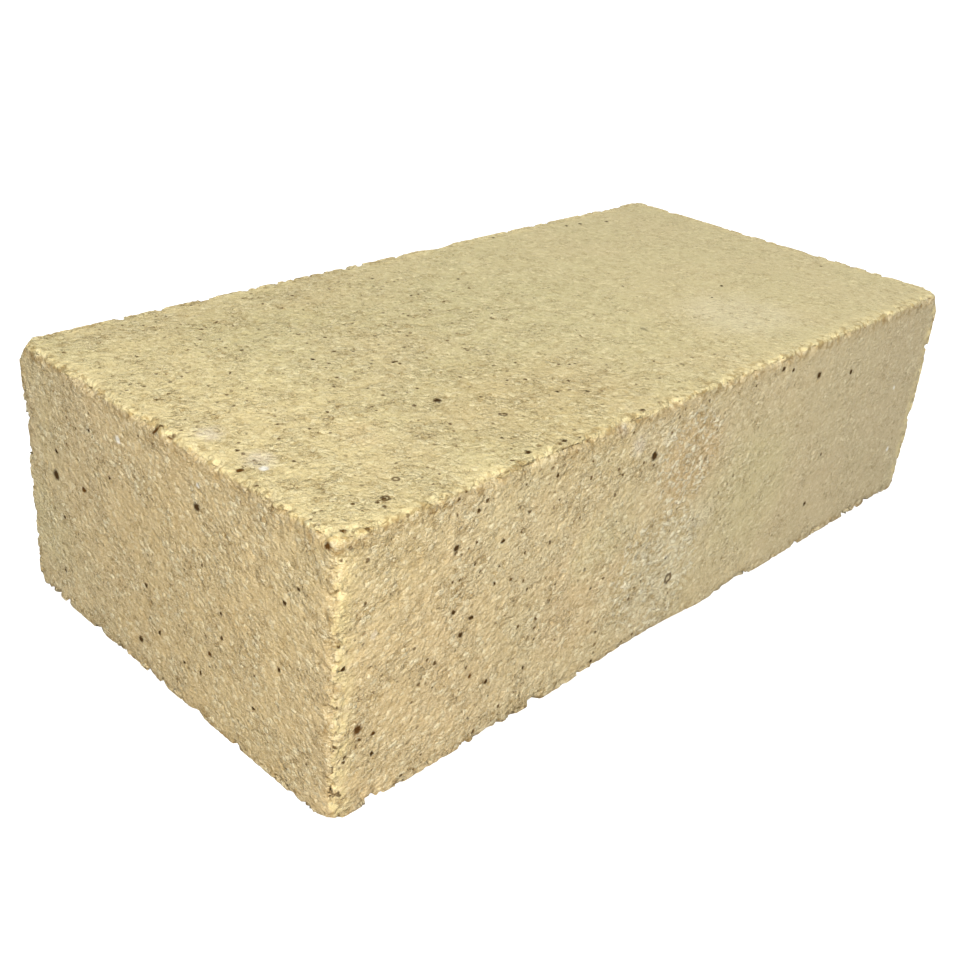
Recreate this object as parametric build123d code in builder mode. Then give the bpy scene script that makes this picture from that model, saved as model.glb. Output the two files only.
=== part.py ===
"""A plain solid fired brick of the standard nine-inch size, with worn and broken edges.

Millimetres. The origin is at the middle of the lower bed, X runs along the length and Z points up.
The long sides are the stretchers and the short ends the headers. Every edge is an arris.
"Near" is the header at -X, and "front" is the stretcher at -Y.
"""
import os
from build123d import *

# Size of the brick
length = 230
width = 114
thickness = 65

# Arrises rubbed round in handling, the lower ones more than the upper ones
upper_arris_radius = 0.9
lower_arris_radius = 1.1
upright_arris_radius = 1.4

# Broken corners: how far each break runs along the length, the width and the thickness
near_front_top_break = (3.0, 3.0, 2.8)
near_back_top_break = (4.6, 4.6, 6.4)
far_front_top_break = (5.0, 5.2, 8.6)
far_back_top_break = (1.8, 2.0, 1.6)
near_front_bottom_break = (5.4, 9.0, 2.7)
near_back_bottom_break = (5.0, 5.0, 3.2)
far_front_bottom_break = (4.4, 3.4, 4.0)
far_back_bottom_break = (3.0, 3.0, 3.0)
break_radius = 30

# Notch: a few grains fallen out of an arris
notch_span = 6.5
notch_depth = 1.4

# Bruise: a shallow knock on an arris
bruise_span = 16
bruise_depth = 1.5

# Worn stretch: a long flat rubbed on the lower front arris
worn_span = 62
worn_depth = 1.5

# Damage along the long arrises, measured from the near header
upper_front_first_notch = 79
upper_front_second_notch = 151
upper_back_bruise = 132
upper_back_notch = 209
lower_front_notch = 44
lower_front_worn_stretch = 97
lower_front_bruise = 140

# Damage along the near header's arrises, measured from the front stretcher
upper_near_notch = 58
lower_near_notch = 45

# Damage up the upright arrises, measured from the lower bed
near_back_notch = 20
near_back_bruise = 41
far_front_bruise = 8
far_front_notch = 46

# Planes of the six faces
near = -length / 2
far = length / 2
front = -width / 2
back = width / 2
bottom = 0
top = thickness


def scoop(point, outward, depth, radius):
    """Take out a round hollow with its floor at a depth behind a point of the sharp edge."""
    centre = point + outward.normalized() * (radius - depth)
    with Locations(centre):
        Sphere(radius, mode=Mode.SUBTRACT)


def chip_arris(point, outward, span, depth):
    """Take a hollow out of an arris, with the span it would have on the sharp edge."""
    radius = ((span / 2) ** 2 + depth ** 2) / (2 * depth)
    scoop(point, outward, depth, radius)


def break_corner(x, y, z, runs):
    """Knock off a corner, leaving its three sharp edges at the runs given."""
    run_x, run_y, run_z = runs
    outward = Vector(
        1 / run_x if x == far else -1 / run_x,
        1 / run_y if y == back else -1 / run_y,
        1 / run_z if z == top else -1 / run_z,
    )
    scoop(Vector(x, y, z), outward, 1 / outward.length, break_radius)


with BuildPart() as brick:
    # Pressed body with the upright arrises rounded
    with BuildSketch(Plane.XY.offset(bottom)) as bed:
        RectangleRounded(length, width, upright_arris_radius)
    extrude(amount=thickness)

    # Arrises round both beds
    fillet(brick.edges().group_by(Axis.Z)[-1], upper_arris_radius)
    fillet(brick.edges().group_by(Axis.Z)[0], lower_arris_radius)

    # Corners
    break_corner(near, front, top, near_front_top_break)
    break_corner(near, back, top, near_back_top_break)
    break_corner(far, front, top, far_front_top_break)
    break_corner(far, back, top, far_back_top_break)
    break_corner(near, front, bottom, near_front_bottom_break)
    break_corner(near, back, bottom, near_back_bottom_break)
    break_corner(far, front, bottom, far_front_bottom_break)
    break_corner(far, back, bottom, far_back_bottom_break)

    # Upper front arris
    upper_front = Vector(0, -1, 1)
    for distance in (upper_front_first_notch, upper_front_second_notch):
        chip_arris(Vector(near + distance, front, top), upper_front, notch_span, notch_depth)

    # Upper back arris
    upper_back = Vector(0, 1, 1)
    chip_arris(Vector(near + upper_back_bruise, back, top), upper_back, bruise_span, bruise_depth)
    chip_arris(Vector(near + upper_back_notch, back, top), upper_back, notch_span, notch_depth)

    # Lower front arris
    lower_front = Vector(0, -1, -1)
    worn_place = Vector(near + lower_front_worn_stretch, front, bottom)
    chip_arris(worn_place, lower_front, worn_span, worn_depth)
    bruised_place = Vector(near + lower_front_bruise, front, bottom)
    chip_arris(bruised_place, lower_front, bruise_span, bruise_depth)
    chip_arris(Vector(near + lower_front_notch, front, bottom), lower_front, notch_span, notch_depth)

    # Near header, upper and lower arris
    upper_near = Vector(-1, 0, 1)
    lower_near = Vector(-1, 0, -1)
    chip_arris(Vector(near, front + upper_near_notch, top), upper_near, notch_span, notch_depth)
    chip_arris(Vector(near, front + lower_near_notch, bottom), lower_near, notch_span, notch_depth)

    # Upright arris between the near header and the back
    near_back = Vector(-1, 1, 0)
    chip_arris(Vector(near, back, bottom + near_back_notch), near_back, notch_span, notch_depth)
    chip_arris(Vector(near, back, bottom + near_back_bruise), near_back, bruise_span, bruise_depth)

    # Upright arris between the far header and the front
    far_front = Vector(1, -1, 0)
    chip_arris(Vector(far, front, bottom + far_front_bruise), far_front, bruise_span, bruise_depth)
    chip_arris(Vector(far, front, bottom + far_front_notch), far_front, notch_span, notch_depth)

brick.part.label = "brick"

os.makedirs("parts", exist_ok=True)
export_step(brick.part, "parts/brick.step")
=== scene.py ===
"""Looks of a buff firebrick: its crumbly relief, its fired-clay material, and a plain white studio."""

from math import radians
import bpy
import numpy as np
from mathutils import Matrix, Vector


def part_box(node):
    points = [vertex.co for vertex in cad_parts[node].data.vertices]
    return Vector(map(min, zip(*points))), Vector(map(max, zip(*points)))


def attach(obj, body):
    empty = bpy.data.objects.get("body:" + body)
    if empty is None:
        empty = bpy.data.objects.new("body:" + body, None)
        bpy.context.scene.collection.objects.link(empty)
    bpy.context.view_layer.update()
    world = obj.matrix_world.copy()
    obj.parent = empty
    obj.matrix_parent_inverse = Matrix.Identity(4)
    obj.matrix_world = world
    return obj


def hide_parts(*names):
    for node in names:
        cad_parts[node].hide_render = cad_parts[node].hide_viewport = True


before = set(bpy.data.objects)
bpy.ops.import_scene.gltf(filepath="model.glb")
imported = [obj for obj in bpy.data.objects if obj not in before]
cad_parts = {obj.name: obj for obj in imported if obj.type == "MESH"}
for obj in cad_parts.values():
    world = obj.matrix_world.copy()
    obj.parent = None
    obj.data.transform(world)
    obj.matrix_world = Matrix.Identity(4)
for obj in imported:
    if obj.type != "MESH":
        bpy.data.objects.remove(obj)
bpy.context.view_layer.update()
low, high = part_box("brick")

# Lengths in the node trees and of the marks are millimetres, and everything else is in metres
MM = 0.001
LENGTH, WIDTH, THICKNESS = (high - low) / MM
NEAR, FRONT = -LENGTH / 2, -WIDTH / 2

# Fineness of the mesh
VOXEL = 0.4 * MM
MOST_TRIANGLES = 196_000

# Relief in the mesh: how wide and how deep each kind of unevenness is
WAVE_SIZE, WAVE_DEPTH = 34, 0.12
GRAIN_SIZE, GRAIN_DEPTH = 1.5, 0.3
PIT_SPACING, PIT_DEPTH = 5.5, 0.45

# Pressing left the grains this many times as wide as they are tall
GRAIN_STRETCH = 1.35

# Chips along the arrises: their spacing, and how far in the largest ones run on the upper and lower ones
CHIP_SPACING = 2.6
UPPER_CHIP, LOWER_CHIP = 2.0, 2.6

# The mesh stays fine this far from an arris
ARRIS_BAND = 1.7

# Name under which the mesh carries the depth of its chips to the material
CHIP_DEPTH = "chip_depth"

# The relief sets the surface about this far back from the box
SETBACK = 0.25

# Iron spots seen in the photograph. On the upper bed: distance from the near header and from the front
# stretcher, and radius
BED_SPOTS = (
    (55, 32.5, 1.1), (47.5, 66, 0.7), (61.5, 54, 0.6), (56, 40, 0.4), (7, 38.5, 0.6),
    (80, 20, 0.6), (86, 16, 0.6), (52.5, 3.5, 0.8), (62.5, 2.5, 0.7),
    (88, 2, 0.8), (116.5, 88.5, 0.6), (153.5, 110.5, 0.7), (184, 107, 0.6), (189.5, 106, 0.8),
    (199.5, 103, 0.7), (151.5, 58, 0.5), (177, 42, 0.6), (165.5, 37.5, 0.5), (104, 27, 0.5), (220, 35, 0.6),
)
# On the front stretcher: distance from the near header, height, and radius
STRETCHER_SPOTS = (
    (92.5, 53, 1.3), (163.5, 55, 1.2), (181.5, 51.5, 0.9), (149, 60, 0.7), (144, 61.5, 0.8), (132, 60, 0.5),
    (30, 52.5, 0.9), (35.5, 59, 0.6), (43.5, 49, 0.7), (58.5, 59, 0.6), (30.5, 37.5, 0.8), (36, 34, 0.7),
    (33, 31, 0.9), (42, 39.5, 0.6), (2.5, 37, 0.7), (10.5, 13, 0.6), (42, 15, 0.7), (54, 13, 0.6),
    (75, 25, 0.5), (171, 14, 0.8), (174.5, 28.5, 0.6), (79, 3, 0.7),
)
# On the near header: distance from the front stretcher, height, and radius
HEADER_SPOTS = (
    (100, 36, 1.5), (42.5, 53, 1.1), (66.5, 8.5, 1.0), (99, 42.5, 0.7), (83, 54, 0.6), (75.5, 45.5, 0.6),
    (63, 24.5, 0.7), (58.5, 14.5, 0.7), (99.5, 10.5, 0.7), (97.5, 26, 0.6), (35, 32, 0.6), (35, 26, 0.6),
    (49, 12, 0.6), (43, 12.5, 0.6), (14.5, 45, 0.7), (10.5, 50, 0.6), (16, 29, 0.7), (24.5, 14.5, 0.6),
)

# All other marks are given by their place, which is along, across and up from the corner of the front
# stretcher, near header and lower bed, and by their radius
RUSTY_SPOTS = (
    (2.5, 31.5, 65, 0.8), (1, 52, 65, 1.0), (6.5, 0, 21, 1.3), (10.5, 0, 18, 0.7), (37, 0, 19, 0.7),
    (0.5, 57, 64, 1.1), (0, 87.5, 37.5, 0.9), (0, 39.5, 19.5, 0.8), (0, 2.5, 63, 0.9), (3.5, 2.5, 65, 0.8),
    (5, 0.5, 63.5, 0.5),
)
WHITE_SPOTS = (
    (6.6, 29.3, 65, 1.1), (212, 0, 39, 0.8), (218, 0, 17, 0.9), (0, 71, 56.5, 1.0), (0, 42, 58, 0.6),
)

# Spots with a pale middle
RING_SPOTS = (
    (106.5, 0, 15, 1.5), (61.5, 19, 65, 1.0), (1.5, 0, 7.4, 1.2), (23.5, 11, 65, 0.9), (17, 6.5, 65, 1.0),
)

# Where the clay turns to another colour. The stains fade out, so their radii are wide
PINK_STAINS = ((109, 0, 48, 17), (15, 0, 20, 48), (70, 0, 25, 22), (-12, 50, 32, 62), (30, 30, 65, 9))
GREEN_STAINS = ((120, 70, 65, 55), (40, 70, 65, 25), (75, 0, 35, 12), (140, 0, 30, 26), (0, 108, 20, 16))
PALE_STAINS = ((103, 0, 18, 20), (116, 0, 30, 8), (160, 25, 65, 22), (87, 0, 60, 7))
OCHRE_STAINS = ((72, 18, 65, 36), (5, 0, 60, 34), (0, 40, 30, 70))
YELLOW_STAINS = ((4, 4, 65, 14), (3, 50, 65, 9), (40, 3, 65, 10), (3, 90, 65, 9), (-15, 57, 65, 66))
LILAC_STAINS = (
    (79.5, 0, 63.5, 2.6), (86, 0, 57.5, 3.6), (8, 33, 65, 5), (7, 48, 65, 4.5), (9.5, 0, 41, 1.4),
)

# Where the stretcher is rougher than elsewhere
ROUGH_PATCHES = ((101, 0, 20, 20), (107, 0, 48, 15))

# Light from all round, as a share of white, and the floor's own grey and its glow towards the camera
AMBIENT = 0.235
FLOOR_GREY = 0.44
FLOOR_GLOW = 0.95

# How far the floor reaches each way, and the point on the brick that most lamps face
FLOOR_REACH = 6
BRICK_MIDDLE = (0, 0, 0.03)


def colour(red, green, blue):
    """A screen colour, given from 0 to 255, as the linear one that nodes take."""
    linear = []
    for part in (red, green, blue):
        share = part / 255
        linear.append(share / 12.92 if share <= 0.04045 else ((share + 0.055) / 1.055) ** 2.4)
    return (*linear, 1.0)


# The clay between the grains, and its other tone in blotches and at the far end, which on the sides is
# darker: partly painted shade of the light weakening towards the far end
BED_CLAY, BED_BLOTCH, BED_FAR = colour(213, 195, 145), colour(209, 195, 143), colour(213, 200, 158)
SIDE_CLAY, SIDE_BLOTCH, SIDE_FAR_TONE_AND_SHADE = colour(215, 194, 149), colour(211, 193, 147), colour(198, 183, 150)

# Pale grains, the brightest ones and ridges, partly painted highlight where they sit raised, and brown,
# which in the hollows between grains is painted shade
BED_CREAM, SIDE_CREAM = colour(255, 241, 190), colour(255, 242, 200)
BED_FLECK, SIDE_FLECK = colour(255, 242, 194), colour(255, 245, 208)
RIDGE = colour(255, 246, 214)
BROWN = colour(146, 111, 46)

# Stains
PINK = colour(216, 186, 140)
GREEN = colour(209, 199, 150)
PALE = colour(230, 219, 184)
OCHRE = colour(208, 184, 130)
YELLOW = colour(244, 226, 166)
LILAC = colour(222, 210, 196)

# Arrises: pale lumps, partly paler rubbed clay and partly painted highlight, and a dull brown band of
# painted shade on the sides below the upper arrises
ARRIS_PALE_AND_HIGHLIGHT = colour(252, 234, 176)
ARRIS_PAINTED_SHADE = colour(184, 156, 108)

# Pores and short cracks, painted dark as painted shade of holes and cracks the mesh doesn't hold, and
# specks and spots
PORE_AND_CRACK_SHADE = colour(86, 57, 10)
SPECK = colour(98, 72, 30)
WHITE = colour(255, 251, 238)
RIM = colour(84, 60, 26)
RUST = colour(96, 64, 22)
IRON = colour(72, 50, 18)


class Graph:
    """Adds nodes to a tree. The same calls serve a material and geometry nodes."""

    def __init__(self, tree):
        self.tree = tree

    def node(self, kind, **settings):
        made = self.tree.nodes.new(kind)
        for name, value in settings.items():
            setattr(made, name, value)
        return made

    def feed(self, socket, value):
        """Links a socket to another, or sets it to a value."""
        if isinstance(value, bpy.types.NodeSocket):
            self.tree.links.new(value, socket)
        else:
            socket.default_value = value

    def fed(self, kind, values, **settings):
        """A node whose first inputs are fed with the values."""
        made = self.node(kind, **settings)
        for socket, value in zip(made.inputs, values):
            self.feed(socket, value)
        return made

    def math(self, operation, *values):
        return self.fed("ShaderNodeMath", values, operation=operation).outputs[0]

    def joined(self, operation, values):
        """Two or more values put together one after another."""
        total = values[0]
        for value in values[1:]:
            total = self.math(operation, total, value)
        return total

    def plus(self, *values):
        return self.joined("ADD", values)

    def times(self, *values):
        return self.joined("MULTIPLY", values)

    def largest(self, *values):
        return self.joined("MAXIMUM", values)

    def smallest(self, *values):
        return self.joined("MINIMUM", values)

    def minus(self, a, b):
        return self.math("SUBTRACT", a, b)

    def absolute(self, value):
        return self.math("ABSOLUTE", value)

    def vector(self, operation, a, b):
        return self.fed("ShaderNodeVectorMath", (a, b), operation=operation).outputs["Vector"]

    def distance(self, a, b):
        return self.fed("ShaderNodeVectorMath", (a, b), operation="DISTANCE").outputs["Value"]

    def scaled(self, vector, factor):
        made = self.node("ShaderNodeVectorMath", operation="SCALE")
        self.feed(made.inputs[0], vector)
        self.feed(made.inputs["Scale"], factor)
        return made.outputs[0]

    def split(self, vector):
        """The three parts of a vector."""
        return tuple(self.fed("ShaderNodeSeparateXYZ", (vector,)).outputs)

    def ramp(self, value, start, end, low=0.0, high=1.0):
        """Low up to start, high from end on, and an even slope with soft ends between."""
        values = (value, start, end, low, high)
        return self.fed("ShaderNodeMapRange", values, interpolation_type="SMOOTHSTEP").outputs[0]

    def mix(self, share, a, b):
        """Colour a, turned to colour b by a share."""
        made = self.node("ShaderNodeMix", data_type="RGBA")
        self.feed(made.inputs["Factor"], share)
        self.feed(made.inputs[6], a)
        self.feed(made.inputs[7], b)
        return made.outputs[2]

    def noise_node(self, place, size, detail, roughness, away):
        made = self.node("ShaderNodeTexNoise")
        self.feed(made.inputs["Vector"], self.vector("ADD", place, (away, away, away)))
        made.inputs["Scale"].default_value = 1 / size
        made.inputs["Detail"].default_value = detail
        made.inputs["Roughness"].default_value = roughness
        return made

    def noise(self, place, size, detail=2.0, roughness=0.5, away=0.0):
        """Noise whose blotches are about size across. away picks another stretch of it."""
        return self.noise_node(place, size, detail, roughness, away).outputs["Fac"]

    def shifted(self, place, size, reach, detail=2.0, away=0.0):
        """The place, pushed about by noise so that round cells turn ragged."""
        push = self.noise_node(place, size, detail, 0.5, away).outputs["Color"]
        push = self.vector("SUBTRACT", push, (0.5, 0.5, 0.5))
        return self.vector("ADD", place, self.scaled(push, reach))

    def cells(self, place, size, away=0.0):
        """How far a place is from the middle of its cell, and the cell's own random number."""
        made = self.node("ShaderNodeTexVoronoi")
        self.feed(made.inputs["Vector"], self.vector("ADD", place, (away, away, away)))
        made.inputs["Scale"].default_value = 1 / size
        return made.outputs["Distance"], self.split(made.outputs["Color"])[0]


def fresh_graph(owner):
    """The emptied node tree of a material or world."""
    owner.use_nodes = True
    owner.node_tree.nodes.clear()
    return Graph(owner.node_tree)


def to_faces(g, place):
    """How far a place is from the nearer header, the nearer stretcher and the nearer bed."""
    x, y, z = g.split(place)
    to_header = g.minus(LENGTH / 2, g.absolute(x))
    to_stretcher = g.minus(WIDTH / 2, g.absolute(y))
    to_bed = g.minus(THICKNESS / 2, g.absolute(g.minus(z, THICKNESS / 2)))
    return to_header, to_stretcher, to_bed


def from_arris(g, place):
    """How far a place on the surface is from the nearest sharp edge of the box, along both its faces."""
    distances = to_faces(g, place)
    return g.minus(g.plus(*distances), g.largest(*distances))


def pressed(g, place):
    """The place stretched in height. Noise there gives grains wider than tall, as pressing left them."""
    return g.vector("MULTIPLY", place, (1, 1, GRAIN_STRETCH))


def grain(g, place):
    """The pressed grains, as a height from about 0.3 to 0.7."""
    ragged = g.shifted(pressed(g, place), GRAIN_SIZE, 0.8, detail=0, away=31)
    return g.noise(ragged, GRAIN_SIZE, detail=0, away=7)


def pits(g, place):
    """Where grains have fallen out: 1 in the middle of each pit."""
    ragged = g.shifted(place, 1.6, 1.2, detail=0, away=3)
    reach, number = g.cells(ragged, PIT_SPACING, away=57)
    radius = g.times(g.ramp(number, 0.3, 1.0), 0.2)
    return g.ramp(g.minus(reach, radius), -0.1, 0.0, 1.0, 0.0)


def chipping(g, place, normal):
    """How deep the arrises have chipped. Each chip cuts flat across its arris."""
    height = g.split(place)[2]
    most = g.ramp(height, THICKNESS - 9, THICKNESS - 3, LOWER_CHIP, UPPER_CHIP)
    ragged = g.shifted(place, 1.4, 1.3, detail=1, away=11)
    number = g.cells(ragged, CHIP_SPACING, away=15)[1]
    grit = g.ramp(g.noise(place, 1.1, detail=1, away=61), 0.4, 0.75, 0.0, 0.8)
    cut = g.plus(g.times(g.ramp(number, 0.45, 0.85), most), grit)
    short = g.largest(g.minus(cut, from_arris(g, place)), 0.0)
    slant = g.plus(*(g.absolute(part) for part in g.split(normal)))
    return g.math("DIVIDE", short, slant)


def roughness(g, place):
    """1 at the near end of the brick and half of it at the far end, which the photograph shows smoother."""
    return g.ramp(g.split(place)[0], -60, 60, 1.0, 0.5)


def share_of_radius(g, place, marks):
    """How far a place is from its nearest mark, as a share of the mark's radius."""
    closest = {}
    for along, across, up, radius in marks:
        middle = (NEAR + max(along, SETBACK), FRONT + max(across, SETBACK), min(up, THICKNESS - SETBACK))
        away = g.distance(place, middle)
        closest[radius] = g.smallest(closest[radius], away) if radius in closest else away
    return g.smallest(*(g.math("DIVIDE", away, radius) for radius, away in closest.items()))


def spots(g, place, marks):
    """1 inside the marked spots and 0 outside them."""
    return g.ramp(share_of_radius(g, place, marks), 0.5, 1.2, 1.0, 0.0)


def rings(g, place, marks):
    """1 on the dark rim of the marked spots and 0 elsewhere."""
    from_rim = g.absolute(g.minus(share_of_radius(g, place, marks), 0.75))
    return g.ramp(from_rim, 0.12, 0.45, 1.0, 0.0)


def stains(g, place, marks):
    """1 in the middle of each large soft mark, fading out over its radius."""
    return g.ramp(share_of_radius(g, place, marks), 0.3, 1.0, 1.0, 0.0)


def iron_marks():
    """The iron spots of all three faces that the photograph shows, by their place."""
    marks = [(along, across, THICKNESS, radius) for along, across, radius in BED_SPOTS]
    marks += [(along, 0, up, radius) for along, up, radius in STRETCHER_SPOTS]
    marks += [(0, across, up, radius) for across, up, radius in HEADER_SPOTS]
    return marks


def relief_tree():
    """Geometry nodes that push the surface in by its relief."""
    tree = bpy.data.node_groups.new("brick_relief", "GeometryNodeTree")
    tree.interface.new_socket("Geometry", in_out="INPUT", socket_type="NodeSocketGeometry")
    tree.interface.new_socket("Geometry", in_out="OUTPUT", socket_type="NodeSocketGeometry")
    g = Graph(tree)
    inside = g.node("NodeGroupInput")
    outside = g.node("NodeGroupOutput")
    place = g.scaled(g.node("GeometryNodeInputPosition").outputs[0], 1 / MM)
    normal = g.node("GeometryNodeInputNormal").outputs[0]

    wave = g.ramp(g.noise(place, WAVE_SIZE, away=90), 0.35, 0.75, 0.0, WAVE_DEPTH)
    hollow = g.ramp(grain(g, place), 0.2, 0.5, GRAIN_DEPTH, 0.0)
    pit = g.times(pits(g, place), PIT_DEPTH)
    rough = g.times(g.plus(hollow, pit), roughness(g, place))
    chip = chipping(g, place, normal)
    depth = g.plus(wave, rough, chip)

    # The material reads how deep each chip is, to show its paler clay
    store = g.node("GeometryNodeStoreNamedAttribute", data_type="FLOAT", domain="POINT")
    store.inputs["Name"].default_value = CHIP_DEPTH
    g.feed(store.inputs["Geometry"], inside.outputs[0])
    g.feed(store.inputs["Value"], chip)

    set_place = g.node("GeometryNodeSetPosition")
    g.feed(set_place.inputs["Geometry"], store.outputs[0])
    g.feed(set_place.inputs["Offset"], g.scaled(normal, g.times(depth, -MM)))
    g.feed(outside.inputs[0], set_place.outputs[0])
    return tree


def lowest_and_size():
    """The lowest corner of the brick's box, and the box's size."""
    return np.array([NEAR, FRONT, 0]), np.array([LENGTH, WIDTH, THICKNESS])


def points_of(mesh):
    """The mesh's points in millimetres."""
    points = np.empty(len(mesh.vertices) * 3, np.float32)
    mesh.vertices.foreach_get("co", points)
    return points.reshape(-1, 3) / MM


def on_faces(mesh):
    """The points away from the arrises, as a list of their numbers."""
    lowest, size = lowest_and_size()
    inward = points_of(mesh) - lowest
    inward = np.minimum(inward, size - inward)
    return np.flatnonzero(np.sort(inward, axis=1)[:, 1] > ARRIS_BAND).tolist()


def result_of(piece):
    """A new mesh with the piece's modifiers applied."""
    return bpy.data.meshes.new_from_object(piece.evaluated_get(bpy.context.evaluated_depsgraph_get()))


def brick_mesh():
    """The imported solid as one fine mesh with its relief, thinned where it is flat."""
    work = bpy.data.objects.new("brick_work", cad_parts["brick"].data.copy())
    bpy.context.scene.collection.objects.link(work)
    remesh = work.modifiers.new("even", "REMESH")
    remesh.mode = "VOXEL"
    remesh.voxel_size = VOXEL
    relief = work.modifiers.new("relief", "NODES")
    relief.node_group = relief_tree()
    work.modifiers.new("triangles", "TRIANGULATE")
    fine = result_of(work)

    work.modifiers.clear()
    work.data = fine
    thinned = work.vertex_groups.new(name="thinned")
    thinned.add(on_faces(fine), 1.0, "REPLACE")
    thin = work.modifiers.new("thin", "DECIMATE")
    thin.vertex_group = thinned.name
    thin.ratio = MOST_TRIANGLES / len(fine.polygons)
    mesh = result_of(work)
    bpy.data.objects.remove(work)

    mesh.name = "firebrick"
    mesh.materials.clear()
    mesh.shade_smooth()
    return mesh


def lay_out(mesh):
    """A flat map of the six faces, side by side without overlaps, for anyone who bakes the material."""
    gap = 1.5
    wide = LENGTH + THICKNESS + 3 * gap
    tall = 2 * WIDTH + 2 * THICKNESS + 5 * gap
    right = LENGTH + 2 * gap
    # For each face: the axis it looks along and which way, the two axes laid across and up the map, and
    # where its corner lies there
    faces = (
        (2, 1, 0, 1, gap, gap),
        (2, -1, 0, 1, gap, WIDTH + 2 * gap),
        (1, -1, 0, 2, gap, 2 * WIDTH + 3 * gap),
        (1, 1, 0, 2, gap, 2 * WIDTH + THICKNESS + 4 * gap),
        (0, -1, 2, 1, right, gap),
        (0, 1, 2, 1, right, WIDTH + 2 * gap),
    )
    corners = np.empty(len(mesh.loops), np.int32)
    mesh.loops.foreach_get("vertex_index", corners)
    lowest, size = lowest_and_size()
    inward = (points_of(mesh) - lowest)[corners.reshape(-1, 3)]

    # Each triangle goes with the face that it is nearest to
    middles = inward.mean(axis=1)
    depths = [middles[:, axis] if way < 0 else size[axis] - middles[:, axis] for axis, way, *_ in faces]
    nearest = np.argmin(depths, axis=0)
    places = np.empty((len(nearest), 3, 2), np.float32)
    for index, (_, _, across, up, left, bottom) in enumerate(faces):
        mine = nearest == index
        places[mine, :, 0] = (inward[mine][..., across] + left) / wide
        places[mine, :, 1] = (inward[mine][..., up] + bottom) / tall
    layer = mesh.uv_layers.new(name="OFBake")
    layer.uv.foreach_set("vector", places.ravel())


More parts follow.
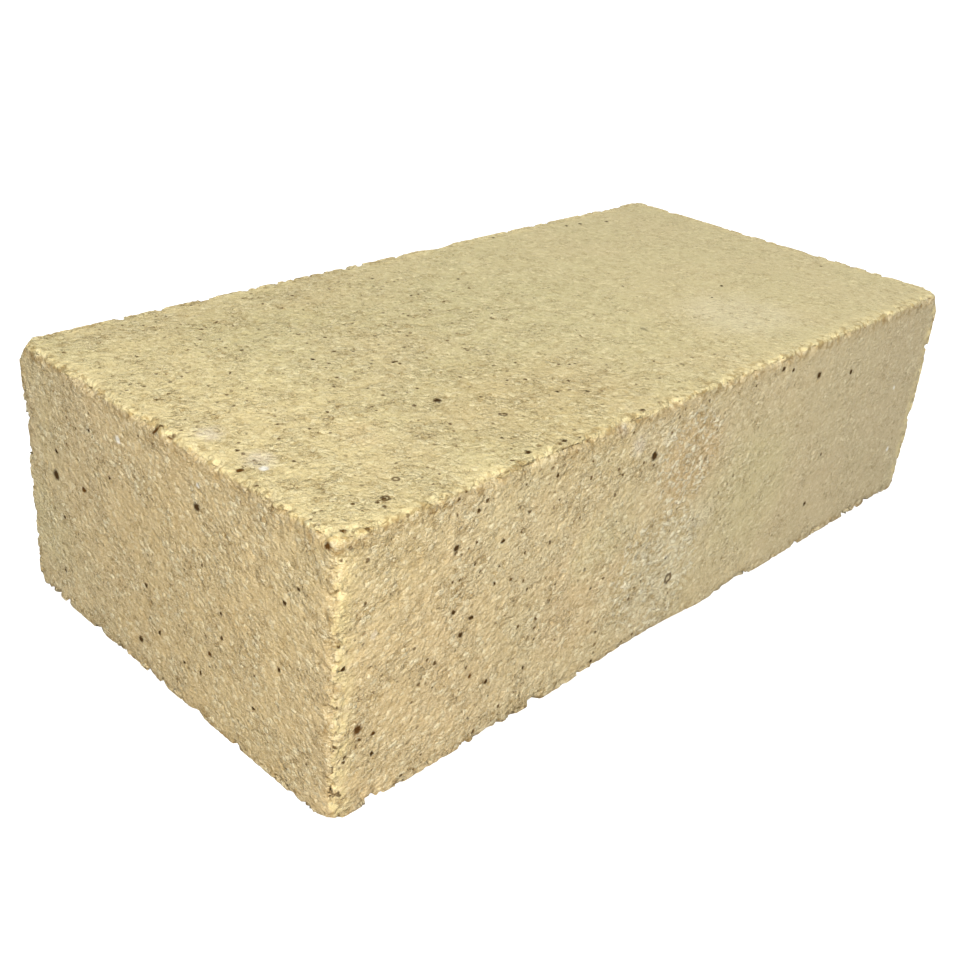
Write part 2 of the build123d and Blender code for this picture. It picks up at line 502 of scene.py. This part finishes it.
class Clay:
    """The fired clay's colour and bump, which share their textures."""

    def __init__(self, g):
        self.g = g
        place = g.scaled(g.node("ShaderNodeTexCoord").outputs["Object"], 1 / MM)
        self.place = place
        self.torn = g.shifted(place, 0.6, 0.7, detail=1, away=71)

        # Grains of all sizes, from large to small, and cobbles that lie close together
        flat = pressed(g, place)
        self.tone = g.noise(flat, 3.6, detail=2, roughness=0.7, away=23)
        self.lump = g.noise(flat, 1.6, detail=2, roughness=0.6, away=66)
        self.flake = g.noise(flat, 1.3, detail=2, roughness=0.6, away=95)
        self.coarse = grain(g, place)
        self.fine = g.noise(flat, 0.55, detail=3, roughness=0.7, away=17)
        self.dust = g.noise(flat, 0.3, detail=1, roughness=0.6, away=41)
        ragged = g.shifted(flat, 0.7, 1.0, detail=1, away=19)
        self.cobble, self.sand = g.cells(ragged, 1.1, away=29)

        # How rough each place is, with ridges and valleys in the roughest patches. The valleys are painted
        # brown as painted shade, and the raised ridges pale, partly as painted highlight
        patchy = g.ramp(g.noise(place, 8, detail=1, away=38), 0.35, 0.65, 0.6, 1.05)
        self.rough = g.times(roughness(g, place), patchy)
        frayed = g.shifted(place, 5, 5, detail=0, away=34)
        patch = g.ramp(share_of_radius(g, frayed, ROUGH_PATCHES), 0.75, 1.0, 1.0, 0.0)
        self.valley_shade = g.times(g.ramp(self.lump, 0.46, 0.36, 0.0, 0.4), patch)
        self.ridge = g.times(g.ramp(self.lump, 0.53, 0.6), g.ramp(patch, 0.0, 1.0, 0.1, 0.9))

        # The upper bed is yellower than the sides
        self.from_top = g.minus(THICKNESS, g.split(place)[2])
        self.on_bed = g.ramp(self.from_top, 1.2, 0.6)
        self.cream = g.mix(self.on_bed, SIDE_CREAM, BED_CREAM)
        self.fleck = g.mix(self.on_bed, SIDE_FLECK, BED_FLECK)

    def body(self):
        """The colour of the clay between the grains."""
        g = self.g
        blotch = g.ramp(g.noise(self.place, 22, detail=2, away=5), 0.35, 0.65)
        # Towards the far end the bed turns paler, and the sides darker, partly as painted shade
        far = g.ramp(g.split(self.place)[0], -80, 110, 0.0, 0.6)
        bed = g.mix(far, g.mix(blotch, BED_CLAY, BED_BLOTCH), BED_FAR)
        side = g.mix(far, g.mix(blotch, SIDE_CLAY, SIDE_BLOTCH), SIDE_FAR_TONE_AND_SHADE)
        return g.mix(self.on_bed, side, bed)

    def stained(self, clay):
        """The clay with its large soft stains."""
        g = self.g
        wide = g.shifted(self.place, 9, 9, detail=1, away=77)
        kinds = (
            (PINK_STAINS, PINK, 0.6),
            (GREEN_STAINS, GREEN, 0.5),
            (PALE_STAINS, PALE, 0.5),
            (OCHRE_STAINS, OCHRE, 0.5),
        )
        for marks, tint, strength in kinds:
            clay = g.mix(g.times(stains(g, wide, marks), strength), clay, tint)
        yellow = g.times(stains(g, wide, YELLOW_STAINS), self.on_bed, 0.55)
        clay = g.mix(yellow, clay, YELLOW)
        lilac = stains(g, g.shifted(self.place, 2.5, 3, detail=1, away=8), LILAC_STAINS)
        return g.mix(g.times(lilac, 0.6), clay, LILAC)

    def grained(self, clay):
        """The clay with its grains: the brown in the hollows of the relief is painted shade, and the pale
        on its raised grains is partly paler clay and partly painted highlight.
        """
        g = self.g
        clay = g.mix(g.times(self.rough, 0.27), clay, self.cream)
        clay = g.mix(self.valley_shade, clay, BROWN)
        clay = g.mix(self.ridge, clay, RIDGE)
        # The coarse, cobble and fine layers follow the relief: their brown in its hollows is painted shade,
        # and the fine layer's pale on its peaks is partly painted highlight. Tone, sand and dust are the
        # clay's own mottling
        # Each layer has its texture, where it starts and where it is full, its full strength and its colour
        layers = (
            (self.tone, 0.5, 0.3, 0.25, BROWN),
            (self.tone, 0.55, 0.75, 0.2, self.cream),
            (self.coarse, 0.42, 0.22, 0.25, BROWN),
            (self.sand, 0.14, 0.06, 0.35, BROWN),
            (self.sand, 0.86, 0.93, 0.65, self.fleck),
            (self.cobble, 0.5, 0.8, 0.2, BROWN),
            (self.fine, 0.43, 0.27, 0.75, BROWN),
            (self.fine, 0.58, 0.7, 0.9, self.fleck),
            (self.dust, 0.44, 0.26, 0.5, BROWN),
            (self.dust, 0.56, 0.74, 0.6, self.fleck),
        )
        for texture, start, full, strength, tint in layers:
            share = g.times(self.rough, g.ramp(texture, start, full, 0.0, strength))
            clay = g.mix(share, clay, tint)
        return clay

    def rubbed(self, clay):
        """The clay along the arrises: pale lumps, partly paler rubbed clay and partly painted highlight,
        painted shade on the sides below the upper arrises, and brown cracks.
        """
        g = self.g
        place = self.place
        to_header, to_stretcher, _ = to_faces(g, place)
        arris = from_arris(g, place)
        wander = g.noise(place, 2.2, detail=2, roughness=0.6, away=48)
        wander = g.times(g.minus(wander, 0.5), 6.0)
        lumps = g.ramp(g.noise(place, 3.2, detail=2, roughness=0.6, away=44), 0.4, 0.6, 0.15, 1.0)

        # The bed's own side of the upper arrises, and the stretcher's side of the upright ones
        inward = g.smallest(to_header, to_stretcher)
        above = g.ramp(g.plus(g.minus(inward, self.from_top), wander), -0.4, 0.4)
        beside = g.ramp(g.plus(g.minus(to_header, to_stretcher), wander), -0.4, 0.4)
        beside = g.times(beside, g.ramp(self.from_top, 1.5, 5.0))

        # Pale lumps along the arrises, partly paler rubbed clay and partly painted highlight
        pale_above = g.times(above, g.ramp(arris, 0.5, 7.0, 0.5, 0.0))
        pale_and_highlight_beside = g.times(beside, g.ramp(g.plus(to_header, to_stretcher), 2.0, 7.0, 0.75, 0.0))
        clay = g.mix(g.times(g.largest(pale_above, pale_and_highlight_beside), lumps), clay, ARRIS_PALE_AND_HIGHLIGHT)

        # Painted shade: a dull brown band on the sides just below the upper arrises
        painted_shade_below = g.minus(g.ramp(g.plus(inward, self.from_top), 1.0, 6.0, 0.35, 0.0), above)
        clay = g.mix(g.largest(g.times(painted_shade_below, lumps), 0.0), clay, ARRIS_PAINTED_SHADE)

        chip = g.node("ShaderNodeAttribute", attribute_name=CHIP_DEPTH).outputs["Fac"]
        fresh = g.times(g.ramp(chip, 0.02, 0.3, 0.0, 0.4), g.largest(above, beside, 0.25))
        clay = g.mix(fresh, clay, self.cream)

        reach, _ = g.cells(g.shifted(place, 1.4, 1.3, detail=1, away=11), 1.8, away=15)
        crack = g.times(g.ramp(arris, 1.5, 4.5, 1.0, 0.0), g.ramp(reach, 0.5, 0.8, 0.0, 0.5))
        return g.mix(crack, clay, BROWN)

    def pored(self, clay):
        """The clay with its pores and short cracks, painted dark as painted shade of holes and cracks that
        the mesh doesn't hold, and its small iron specks.
        """
        g = self.g
        line = g.absolute(g.minus(g.noise(self.place, 1.6, detail=1, away=52), 0.5))
        line = g.times(g.ramp(line, 0.0, 0.03, 0.6, 0.0), g.ramp(self.tone, 0.5, 0.38), self.rough)
        clay = g.mix(line, clay, PORE_AND_CRACK_SHADE)

        # Pores: painted shade of small holes that the mesh doesn't hold
        reach, number = g.cells(self.torn, 1.9, away=83)
        pore = g.minus(reach, g.ramp(number, 0.4, 1.0, 0.0, 0.26))
        pore = g.times(g.ramp(pore, -0.1, 0.08, 0.9, 0.0), g.ramp(self.rough, 0.3, 1.0, 0.15, 1.0))
        clay = g.mix(pore, clay, PORE_AND_CRACK_SHADE)

        reach, number = g.cells(self.torn, 9, away=12)
        speck = g.minus(reach, g.ramp(number, 0.5, 1.0, 0.0, 0.07))
        speck = g.times(g.ramp(speck, -0.03, 0.015, 0.85, 0.0), g.ramp(self.rough, 0.3, 1.0, 0.4, 1.0))
        return g.mix(speck, clay, SPECK)

    def spotted(self, clay):
        """The clay with the spots that the photograph shows one by one."""
        g = self.g
        clay = g.mix(g.times(spots(g, self.torn, WHITE_SPOTS), 0.9), clay, WHITE)
        clay = g.mix(g.times(rings(g, self.torn, RING_SPOTS), 0.8), clay, RIM)
        clay = g.mix(spots(g, self.torn, RUSTY_SPOTS), clay, RUST)
        return g.mix(spots(g, self.torn, iron_marks()), clay, IRON)

    def colouring(self):
        """The whole colour, layer on layer."""
        clay = self.body()
        for layer in (self.stained, self.grained, self.rubbed, self.pored, self.spotted):
            clay = layer(clay)
        return clay

    def height(self):
        """The finest relief, in millimetres."""
        g = self.g
        cobbles = g.ramp(self.cobble, 0.15, 0.75, 0.3, 0.0)
        grit = g.ramp(self.fine, 0.35, 0.65, 0.0, 0.12)
        flakes = g.ramp(self.flake, 0.44, 0.58, 0.0, 0.14)
        grains = g.times(self.coarse, 0.15)
        evenly = g.times(g.plus(cobbles, grit, flakes, grains), self.rough)
        return g.plus(evenly, g.times(self.ridge, 0.3))


def clay_material():
    """Fired buff clay with its grains, pores, iron spots and rubbed arrises."""
    material = bpy.data.materials.new("buff_clay")
    g = fresh_graph(material)
    clay = Clay(g)
    shader = g.node("ShaderNodeBsdfPrincipled")
    shader.inputs["Roughness"].default_value = 0.92
    shader.inputs["Specular IOR Level"].default_value = 0.12
    g.feed(shader.inputs["Base Color"], clay.colouring())
    bump = g.node("ShaderNodeBump")
    bump.inputs["Strength"].default_value = 1.0
    bump.inputs["Distance"].default_value = MM
    g.feed(bump.inputs["Height"], clay.height())
    g.feed(shader.inputs["Normal"], bump.outputs[0])
    output = g.node("ShaderNodeOutputMaterial")
    g.feed(output.inputs["Surface"], shader.outputs[0])
    return material


def seen(g):
    """1 for what the camera, mirrors and glass see, and 0 for the light that falls on the brick."""
    path = g.node("ShaderNodeLightPath")
    kinds = ("Is Camera Ray", "Is Glossy Ray", "Is Transmission Ray")
    return g.largest(*(path.outputs[kind] for kind in kinds))


def floor_material():
    """A grey floor that the camera sees as white, less the brick's shadow."""
    material = bpy.data.materials.new("pale_floor")
    g = fresh_graph(material)
    plain = g.node("ShaderNodeBsdfDiffuse")
    plain.inputs["Color"].default_value = (FLOOR_GREY, FLOOR_GREY, FLOOR_GREY, 1)
    glow = g.node("ShaderNodeEmission")
    glow.inputs["Color"].default_value = (1, 1, 1, 1)
    g.feed(glow.inputs["Strength"], g.times(seen(g), FLOOR_GLOW))
    both = g.fed("ShaderNodeAddShader", (plain.outputs[0], glow.outputs[0]))
    output = g.node("ShaderNodeOutputMaterial")
    g.feed(output.inputs["Surface"], both.outputs[0])
    return material


def floor():
    """A wide pale floor at the brick's lower bed."""
    mesh = bpy.data.meshes.new("floor")
    corners = [(x * FLOOR_REACH, y * FLOOR_REACH, 0) for x, y in ((-1, -1), (1, -1), (1, 1), (-1, 1))]
    mesh.from_pydata(corners, [], [(0, 1, 2, 3)])
    mesh.materials.append(floor_material())
    piece = bpy.data.objects.new("floor", mesh)
    bpy.context.scene.collection.objects.link(piece)


def surroundings():
    """Even light from all round, seen as plain white."""
    world = bpy.data.worlds.new("studio")
    bpy.context.scene.world = world
    g = fresh_graph(world)
    sky = g.node("ShaderNodeBackground")
    sky.inputs["Color"].default_value = (1, 1, 1, 1)
    g.feed(sky.inputs["Strength"], g.ramp(seen(g), 0.0, 1.0, AMBIENT, 1.0))
    output = g.node("ShaderNodeOutputWorld")
    g.feed(output.inputs["Surface"], sky.outputs[0])


def lamp(name, place, size, power, aim=BRICK_MIDDLE, tint=(1, 1, 1)):
    """A square soft light that faces a point."""
    data = bpy.data.lights.new(name, "AREA")
    data.color = tint
    data.size = size
    data.energy = power
    piece = bpy.data.objects.new(name, data)
    bpy.context.scene.collection.objects.link(piece)
    piece.location = place
    piece.rotation_euler = (Vector(aim) - Vector(place)).to_track_quat("-Z", "Y").to_euler()


def camera():
    """The photograph's viewpoint, fitted to the brick's outline."""
    data = bpy.data.cameras.new("camera")
    data.sensor_width = 36
    data.lens = 45.52
    data.shift_x = 0.0103
    data.shift_y = -0.0309
    data.clip_start = 0.01
    piece = bpy.data.objects.new("camera", data)
    bpy.context.scene.collection.objects.link(piece)
    piece.location = (-0.23217, -0.19524, 0.17340)
    piece.rotation_euler = (radians(63.405), radians(-4.135), radians(-45.31))
    bpy.context.scene.camera = piece


brick = bpy.data.objects.new("firebrick", brick_mesh())
bpy.context.scene.collection.objects.link(brick)
lay_out(brick.data)
brick.data.materials.append(clay_material())
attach(brick, "root")
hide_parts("brick")

floor()
surroundings()
camera()

# Key from above and behind the camera, a warm lamp low at the nearest arris, a cool one along the
# stretcher, an even one from above, and a low one for the faces that the photograph doesn't show
nearest_arris = (-0.115, -0.057, 0.03)
lamp("key", place=(-0.55, -0.55, 0.68), size=0.25, power=8.6)
lamp("warm", place=(-0.28, -0.24, 0.03), size=0.2, power=0.31, aim=nearest_arris, tint=(1, 0.8, 0.52))
lamp("cool", place=(0.6, -1.2, 0.4), size=0.6, power=0.85, tint=(0.55, 0.75, 1.0))
lamp("top", place=(0.3, 0.2, 1.4), size=1.2, power=5.4, aim=(0, 0, 0))
lamp("back", place=(0.6, 0.7, 0.06), size=0.1, power=3.0)

bpy.context.scene.view_settings.view_transform = "Standard"
